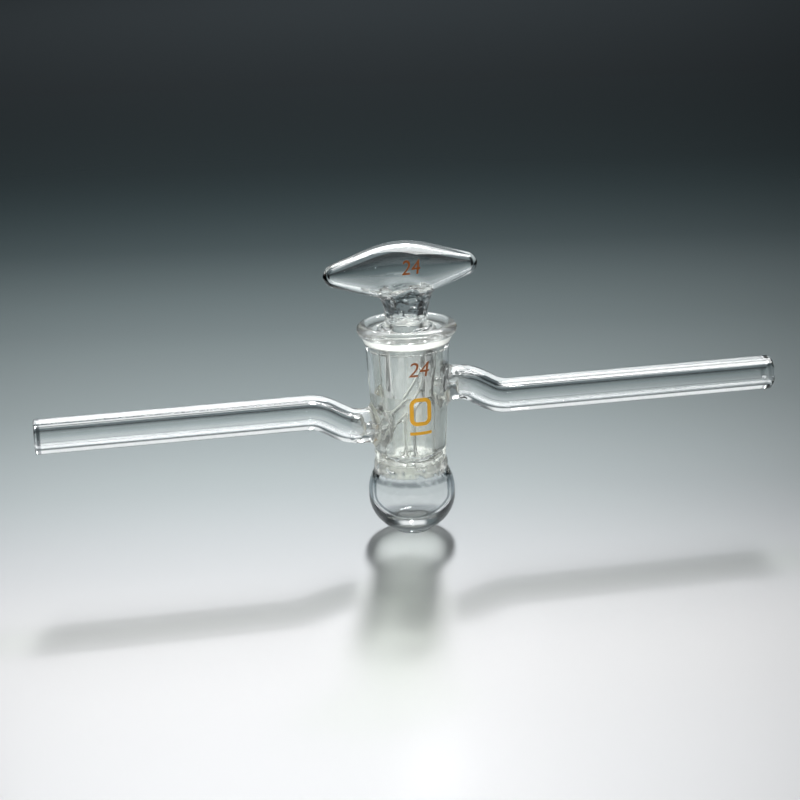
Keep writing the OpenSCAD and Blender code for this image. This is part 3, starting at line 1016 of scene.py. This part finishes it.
def filled(tree, curve):
    """The flat mesh inside closed curves."""
    return node(tree, "GeometryNodeFillCurve", {"Curve": curve}).outputs[0]


def rectangle(tree, width, height):
    """A rectangle's outline."""
    sides = {"Width": width, "Height": height}
    return node(tree, "GeometryNodeCurvePrimitiveQuadrilateral", sides).outputs[0]


def digits(tree, group):
    """Filled digits, centred."""
    letters = node(
        tree, "GeometryNodeStringToCurves", {"String": group["Text"], "Size": group["Height"]},
        align_x="CENTER", align_y="MIDDLE",
    ).outputs["Curve Instances"]
    return filled(tree, node(tree, "GeometryNodeRealizeInstances", {"Geometry": letters}).outputs[0])


def rounded_frame(tree, group):
    """A rounded rectangle of the given line width, with its inside left bare."""
    line, width, height = (Value(tree, group[name]) for name in ("Line", "Width", "Height"))
    rings = []
    for inward in (0.0, 1.0):
        less = line * (2.0 * inward)
        outline = {"Curve": rectangle(tree, width - less, height - less), "Radius": line * (1.9 - inward)}
        rings.append(node(tree, "GeometryNodeFilletCurve", {**outline, "Count": 6}, mode="POLY").outputs[0])
    return filled(tree, joined(tree, *rings))


def bar(tree, group):
    """A plain filled bar."""
    return filled(tree, rectangle(tree, group["Width"], group["Height"]))


def enamel_piece(name, shape, glass, body, material, values):
    """Runs a mark's node tree against a glass piece and keeps the result as a plain mesh."""
    tree = mark_tree(shape)
    obj = bpy.data.objects.new(name, bpy.data.meshes.new(name))
    bpy.context.scene.collection.objects.link(obj)
    modifier = obj.modifiers.new("mark", "NODES")
    modifier.node_group = tree
    values = {"Glass": glass, "Enamel": material, **values}
    for item in tree.interface.items_tree:
        if item.in_out == "INPUT" and item.name in values:
            modifier[item.identifier] = values[item.name]
    obj.update_tag()
    bpy.context.view_layer.update()
    made = obj.evaluated_get(bpy.context.evaluated_depsgraph_get())
    mesh = bpy.data.meshes.new_from_object(made)
    mesh.name = name
    obj.modifiers.clear()
    obj.data = mesh
    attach(obj, body)
    return obj


# ---------------------------------------------------------------- stage

# The floor: half its width, its near and far edge, and the stretch behind the axis that is graded
FLOOR_HALF, FLOOR_NEAR, FLOOR_FAR = 3.0, -1.0, 5.0
GRADE_START, GRADE_END = -0.12, 0.88
# The lit part of the floor is a fan, and its dimming sides are painted shade in the floor's colour: how far
# before the axis its sides meet, the sideways lean of its middle, half its width and where its edges fall
# off, all three as slopes, and how dark they end
FAN_ROOT = 0.4
FAN_LEAN = 0.075
FAN_HALF = 0.2
FAN_EDGE = (0.24, 0.42)
FAN_EDGE_DARKNESS = 0.94
# How much more the painted shade darkens the floor sideways behind the object, and where that comes in, in
# metres
FAN_DEEPER = 0.58
FAN_BEHIND = (-0.06, 0.03)
# The least share of its tone that the floor shows beside the fan, and the share of its sheen
FLOOR_LEAST = 0.35
FLOOR_SHEEN = 0.045
SHEEN_ROUGHNESS = 0.18
# The room as glass shows it: a pale wall high up behind, dim to the front and back and dark to both sides.
# Then the room as it lights plain surfaces
WALL_COLOUR = (0.85, 0.88, 0.89, 1.0)
DIM_COLOUR = (0.12, 0.15, 0.16, 1.0)
DARK_COLOUR = (0.012, 0.016, 0.018, 1.0)
ROOM_COLOUR = (0.030, 0.040, 0.043, 1.0)
# Directions, as parts of a unit vector: how high the pale wall stands, how far behind it starts, its middle
# and how far it reaches to both sides of that, and where the room darkens sideways
WALL_HEIGHT = (0.28, 0.40, 0.70, 0.80)
WALL_DEPTH = (0.2, 0.4)
WALL_MIDDLE = 0.15
WALL_REACH = (0.30, 0.45)
DARK_SIDES = (0.45, 0.75)
# The point that the lamps are turned to
LAMP_AIM = Vector((0.0, 0.0, 0.03))


def painted_floor_falloff(tree, across, away, painted_side_falloff):
    """Painted shade: how much of the floor's tone is left towards its sides, where the lamps' light falls
    off in a fan.
    """
    spread = across / (away + FAN_ROOT)
    fan = spread + FAN_LEAN
    behind = away.rise(*FAN_BEHIND) * FAN_DEEPER + 1.0
    side = fan * fan * (painted_side_falloff / FAN_HALF**2) * behind
    fade = ((1.0 - side) | 0.0) * (1.0 - abs(spread).rise(*FAN_EDGE) * FAN_EDGE_DARKNESS)
    camera_ray = Value(tree, node(tree, "ShaderNodeLightPath").outputs["Is Camera Ray"])
    return fade | camera_ray * FLOOR_LEAST


def graded_floor_material(scene):
    """The floor's colour, graded from pale at the front to near black behind, with a faint sheen."""
    material, tree = new_material("graded_floor")
    turned = node(
        tree, "ShaderNodeVectorRotate",
        {"Vector": object_place(tree), "Angle": scene.stopcock_stage.azimuth}, rotation_type="Z_AXIS",
    )
    across, away, _ = split(tree, turned.outputs[0])
    stretch = {"Value": away, "From Min": GRADE_START, "From Max": GRADE_END, "To Min": 0.0, "To Max": 1.0}
    depth = node(tree, "ShaderNodeMapRange", stretch).outputs["Result"]
    ramp = node(tree, "ShaderNodeValToRGB", {"Fac": depth})
    ramp.color_ramp.interpolation = "B_SPLINE"
    elements = ramp.color_ramp.elements
    while len(elements) < len(FLOOR_GRADE):
        elements.new(0.5)
    for element, (behind, tint) in zip(elements, FLOOR_GRADE):
        element.position = (behind - GRADE_START) / (GRADE_END - GRADE_START)
        element.color = (*tint, 1.0)
    fade = painted_floor_falloff(tree, across, away, scene.stopcock_look.painted_side_falloff)
    tone = node(tree, "ShaderNodeVectorMath", {0: ramp.outputs[0], 3: fade}, operation="SCALE")
    board = node(tree, "ShaderNodeBsdfDiffuse", {"Color": tone.outputs[0]}).outputs[0]
    mirror = node(tree, "ShaderNodeBsdfGlossy", {"Roughness": SHEEN_ROUGHNESS}).outputs[0]
    node(tree, "ShaderNodeOutputMaterial", {"Surface": mix_shaders(tree, FLOOR_SHEEN, board, mirror)})
    return material


def make_floor(scene):
    """The flat floor, graded in colour."""
    mesh = bpy.data.meshes.new("floor")
    corners = [(-FLOOR_HALF, FLOOR_NEAR, 0), (FLOOR_HALF, FLOOR_NEAR, 0)]
    corners += [(FLOOR_HALF, FLOOR_FAR, 0), (-FLOOR_HALF, FLOOR_FAR, 0)]
    mesh.from_pydata(corners, [], [(0, 1, 2, 3)])
    mesh.materials.append(graded_floor_material(scene))
    floor = bpy.data.objects.new("floor", mesh)
    scene.collection.objects.link(floor)


def make_world(scene):
    """The dim room, with a pale wall behind that only glass and reflections show."""
    world = bpy.data.worlds.new("studio")
    world.use_nodes = True
    scene.world = world
    sky = world.node_tree
    aside, behind, height = split(sky, node(sky, "ShaderNodeTexCoord").outputs["Generated"])
    paths = node(sky, "ShaderNodeLightPath").outputs
    in_glass = Value(sky, paths["Is Transmission Ray"]) | paths["Is Glossy Ray"]
    wall = height.band(*WALL_HEIGHT) * behind.rise(*WALL_DEPTH) * abs(aside - WALL_MIDDLE).fall(*WALL_REACH)
    sides = mix_colours(sky, abs(aside).fall(*DARK_SIDES), DARK_COLOUR, DIM_COLOUR)
    room = mix_colours(sky, in_glass, ROOM_COLOUR, mix_colours(sky, wall, sides, WALL_COLOUR))
    sky.links.new(room, sky.nodes["Background"].inputs["Color"])


def make_lamps(scene):
    """The lamps. The softbox shows in reflections only, and of the others only the strips show in glass."""
    for name, at, size, power in LAMPS:
        lamp = bpy.data.lights.new(name, "AREA")
        lamp.shape = "RECTANGLE"
        lamp.size, lamp.size_y = size
        lamp.energy = power
        lamp_object = bpy.data.objects.new(name, lamp)
        lamp_object.location = at
        lamp_object.rotation_euler = (LAMP_AIM - Vector(at)).to_track_quat("-Z", "Y").to_euler()
        lamp_object.visible_glossy = name == "softbox"
        lamp_object.visible_diffuse = name != "softbox"
        lamp_object.visible_transmission = name.startswith("strip")
        scene.collection.objects.link(lamp_object)


def make_camera(scene):
    """The camera, turned about what it aims at and tilted a little about its line of sight."""
    stage = scene.stopcock_stage
    level = math.cos(stage.elevation)
    out = Vector(
        (-math.sin(stage.azimuth) * level, -math.cos(stage.azimuth) * level, math.sin(stage.elevation))
    )
    right = (-out).cross(UP).normalized()
    up = right.cross(-out)
    cos, sin = math.cos(stage.roll), math.sin(stage.roll)
    turn = Matrix((right * cos - up * sin, right * sin + up * cos, out)).transposed().to_4x4()
    camera = bpy.data.cameras.new("camera")
    camera.lens = stage.lens
    camera.sensor_width = 36.0
    camera.clip_start = 0.01
    camera.clip_end = 50.0
    camera_object = bpy.data.objects.new("camera", camera)
    aim = Vector((stage.aim_x, 0.0, stage.aim_z))
    camera_object.matrix_world = Matrix.Translation(aim + out * stage.distance) @ turn
    scene.collection.objects.link(camera_object)
    scene.camera = camera_object


# ---------------------------------------------------------------- operators


class STOPCOCK_OT_barrel(Operator):
    """Make the ground barrel with its lip, arms and vacuum bulb"""

    bl_idname = "stopcock.barrel"
    bl_label = "Barrel"

    def execute(self, context):
        scene = context.scene
        s, j = scene.stopcock_barrel, scene.stopcock_joint
        # Grid: fine over the barrel and both bends, wide along the straight tubes, fine again at their ends
        fine, wide, end_fine = 0.00036, 0.002, 0.0003
        end_zone, room = 0.002, 0.0004
        middle = s.bend_start + 0.0145
        side, top = s.lip_d / 2 + 0.0003, s.lip_top + 0.0005
        lines = (
            steps(
                (-s.low_reach - room, -s.low_reach + end_zone, end_fine),
                (-s.low_reach + end_zone, -middle, wide),
                (-middle, middle, fine),
                (middle, s.high_reach - end_zone, wide),
                (s.high_reach - end_zone, s.high_reach + room, end_fine),
            ),
            steps((-side, side, fine)),
            steps((-room, top, fine)),
        )
        glass = glass_material("barrel_glass", scene)
        glass_piece(
            "barrel_glass", barrel_field(s, j), lines, fine, "barrel", "barrel", glass
        )
        return {"FINISHED"}


class STOPCOCK_OT_plug(Operator):
    """Make the hollow ground plug with its inner tubes, neck and handle"""

    bl_idname = "stopcock.plug"
    bl_label = "Plug"

    def execute(self, context):
        scene = context.scene
        s, j = scene.stopcock_plug, scene.stopcock_joint
        fine, room = 0.00032, 0.0004
        half = s.handle_len / 2 + abs(s.handle_shift) + 0.0006
        side = cone_radius(j, s.shoulder) + 0.00069
        top = s.handle_height + s.handle_d / 2 + room
        lines = (
            steps((-half, half, fine)),
            steps((-side, side, fine)),
            steps((j.plug_bottom - room, top, fine)),
        )
        glass = glass_material("plug_glass", scene)
        glass_piece("plug_glass", plug_field(s, j), lines, fine, "plug", "plug", glass)
        return {"FINISHED"}


class STOPCOCK_OT_marks(Operator):
    """Fire the pair number, the empty label frame and its bar onto the glass"""

    bl_idname = "stopcock.marks"
    bl_label = "Marks"

    def execute(self, context):
        scene = context.scene
        m, look = scene.stopcock_marks, scene.stopcock_look
        brown = enamel_material("brown_enamel", look.number)
        amber = enamel_material("amber_enamel", look.spot)
        barrel, plug = bpy.data.objects["barrel_glass"], bpy.data.objects["plug_glass"]
        coat = {"Thickness": m.thickness, "Sunk": m.sunk}
        enamel_piece(
            "barrel_number", digits, barrel, "barrel", brown,
            {"Text": m.text, "Height": m.barrel_number_size, "Slant": m.slant,
             "Middle X": m.barrel_number_x, "Middle Z": m.barrel_number_z, **coat},
        )
        enamel_piece(
            "handle_number", digits, plug, "plug", brown,
            {"Text": m.text, "Height": m.handle_number_size, "Slant": m.slant,
             "Middle X": m.handle_number_x, "Middle Z": m.handle_number_z, **coat},
        )
        enamel_piece(
            "label_frame", rounded_frame, barrel, "barrel", amber,
            {"Width": m.frame_w, "Height": m.frame_h, "Line": m.frame_line, "Middle X": m.frame_x,
             "Middle Z": m.frame_z, **coat},
        )
        enamel_piece(
            "label_bar", bar, barrel, "barrel", amber,
            {"Width": m.bar_w, "Height": m.bar_h, "Middle X": m.frame_x, "Middle Z": m.bar_z, **coat},
        )
        return {"FINISHED"}


class STOPCOCK_OT_stage(Operator):
    """Set the floor, the lights and the camera"""

    bl_idname = "stopcock.stage"
    bl_label = "Stage"

    def execute(self, context):
        scene = context.scene
        make_floor(scene)
        make_world(scene)
        make_lamps(scene)
        make_camera(scene)
        scene.view_settings.view_transform = "Standard"
        scene.cycles.max_bounces = 32
        scene.cycles.transmission_bounces = 32
        scene.cycles.transparent_max_bounces = 32
        scene.cycles.glossy_bounces = 12
        scene.cycles.caustics_reflective = False
        scene.cycles.caustics_refractive = False
        return {"FINISHED"}


class STOPCOCK_PT_tools(Panel):
    """The sizes, colours and steps of the stopcock"""

    bl_idname = "STOPCOCK_PT_tools"
    bl_label = "Glass stopcock"
    bl_space_type = "VIEW_3D"
    bl_region_type = "UI"
    bl_category = "Stopcock"

    def draw(self, context):
        scene = context.scene
        for title, group in (
            ("Ground joint", scene.stopcock_joint),
            ("Barrel", scene.stopcock_barrel),
            ("Plug", scene.stopcock_plug),
            ("Marks", scene.stopcock_marks),
            ("Look", scene.stopcock_look),
            ("Shading", scene.stopcock_shading),
            ("Stage", scene.stopcock_stage),
        ):
            box = self.layout.box()
            box.label(text=title)
            for key in group.__annotations__:
                box.prop(group, key)
        for step in PIECES:
            self.layout.operator(step.bl_idname)


GROUPS = {
    "stopcock_joint": StopcockJointSizes,
    "stopcock_barrel": StopcockBarrelSizes,
    "stopcock_plug": StopcockPlugSizes,
    "stopcock_marks": StopcockMarks,
    "stopcock_look": StopcockLook,
    "stopcock_shading": StopcockShading,
    "stopcock_stage": StopcockStage,
}
PIECES = (STOPCOCK_OT_barrel, STOPCOCK_OT_plug, STOPCOCK_OT_marks, STOPCOCK_OT_stage)


def register():
    """Adds the classes and the scene's groups of sizes."""
    for made in (*GROUPS.values(), *PIECES, STOPCOCK_PT_tools):
        bpy.utils.register_class(made)
    for name, group in GROUPS.items():
        setattr(bpy.types.Scene, name, PointerProperty(type=group))


def unregister():
    """Takes them out again."""
    for name in GROUPS:
        delattr(bpy.types.Scene, name)
    for made in (STOPCOCK_PT_tools, *PIECES, *GROUPS.values()):
        bpy.utils.unregister_class(made)


def main():
    """Makes every piece and the stage."""
    register()
    for step in PIECES:
        group, name = step.bl_idname.split(".")
        getattr(getattr(bpy.ops, group), name)()


if __name__ == "__main__":
    main()
